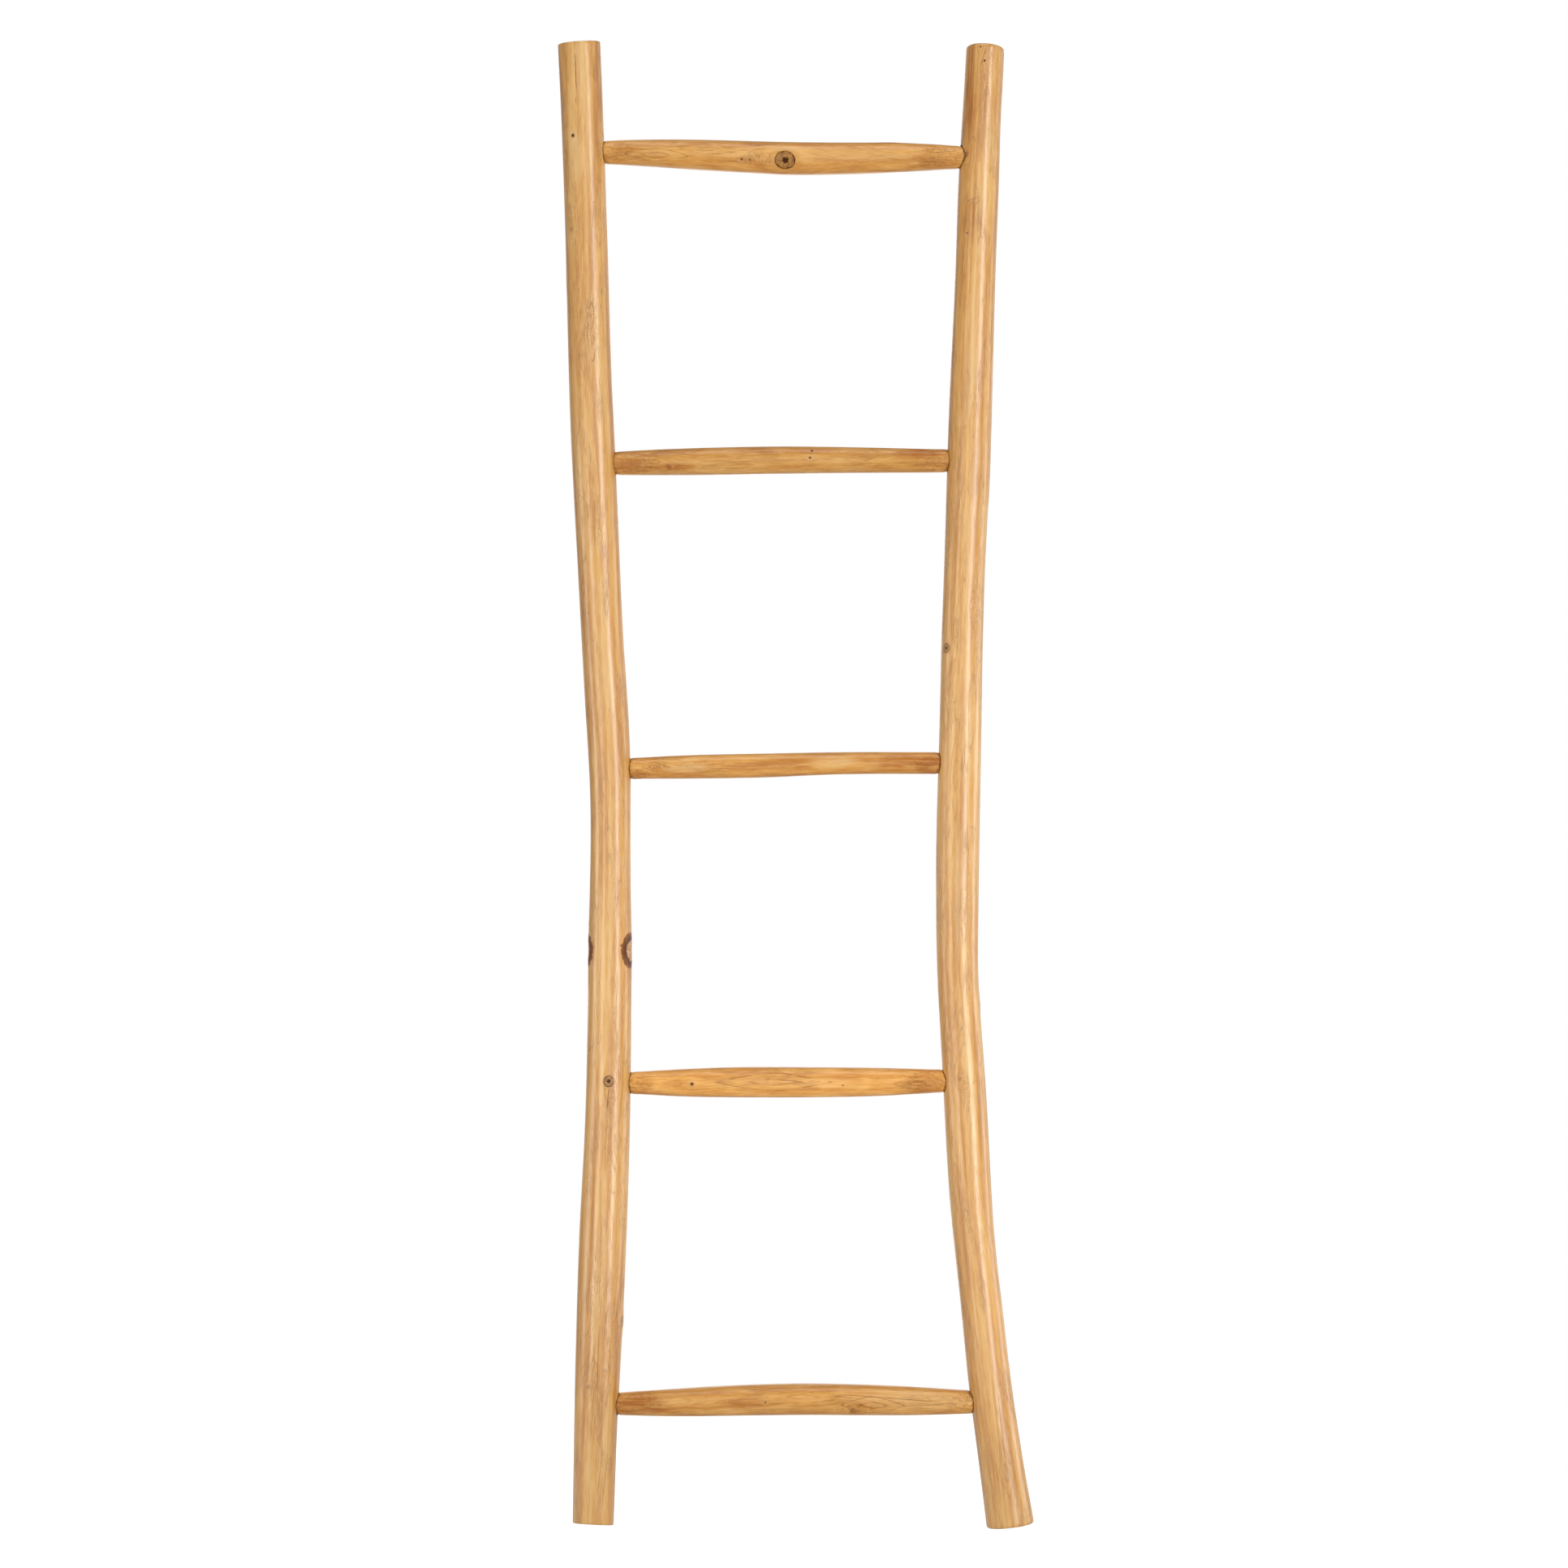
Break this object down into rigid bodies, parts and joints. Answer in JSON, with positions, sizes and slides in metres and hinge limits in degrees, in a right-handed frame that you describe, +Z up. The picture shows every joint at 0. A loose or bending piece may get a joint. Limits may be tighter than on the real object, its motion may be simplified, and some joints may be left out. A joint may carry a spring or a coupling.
{
  "type": "leaning towel ladder",
  "caption": "Rustic leaning towel rack shaped like a ladder, with crooked peeled teak branches as posts and thinner tapered branches as rungs.",
  "frame": {"origin": "middle of the ladder's box at floor level, between the two feet", "axes": "+Z up along the ladder, +X to the right seen from the front, -Y is the front"},
  "size_m": [0.479, 0.0568, 1.503],
  "materials": {
    "post_teak": "peeled branch, golden brown teak under clear satin lacquer",
    "rung_teak": "peeled branch, amber brown teak with looping grain under clear satin lacquer",
    "brad_steel": "bright plain steel"
  },
  "bodies": {
    "root": {"left_post": "post_teak", "right_post": "post_teak", "rung_1_top": "rung_teak", "rung_2": "rung_teak", "rung_3": "rung_teak", "rung_4": "rung_teak", "rung_5_bottom": "rung_teak", "brad_1_left": "brad_steel", "brad_1_right": "brad_steel", "brad_2_left": "brad_steel", "brad_2_right": "brad_steel", "brad_3_left": "brad_steel", "brad_3_right": "brad_steel", "brad_4_left": "brad_steel", "brad_4_right": "brad_steel", "brad_5_left": "brad_steel", "brad_5_right": "brad_steel"}
  },
  "joints": []
}
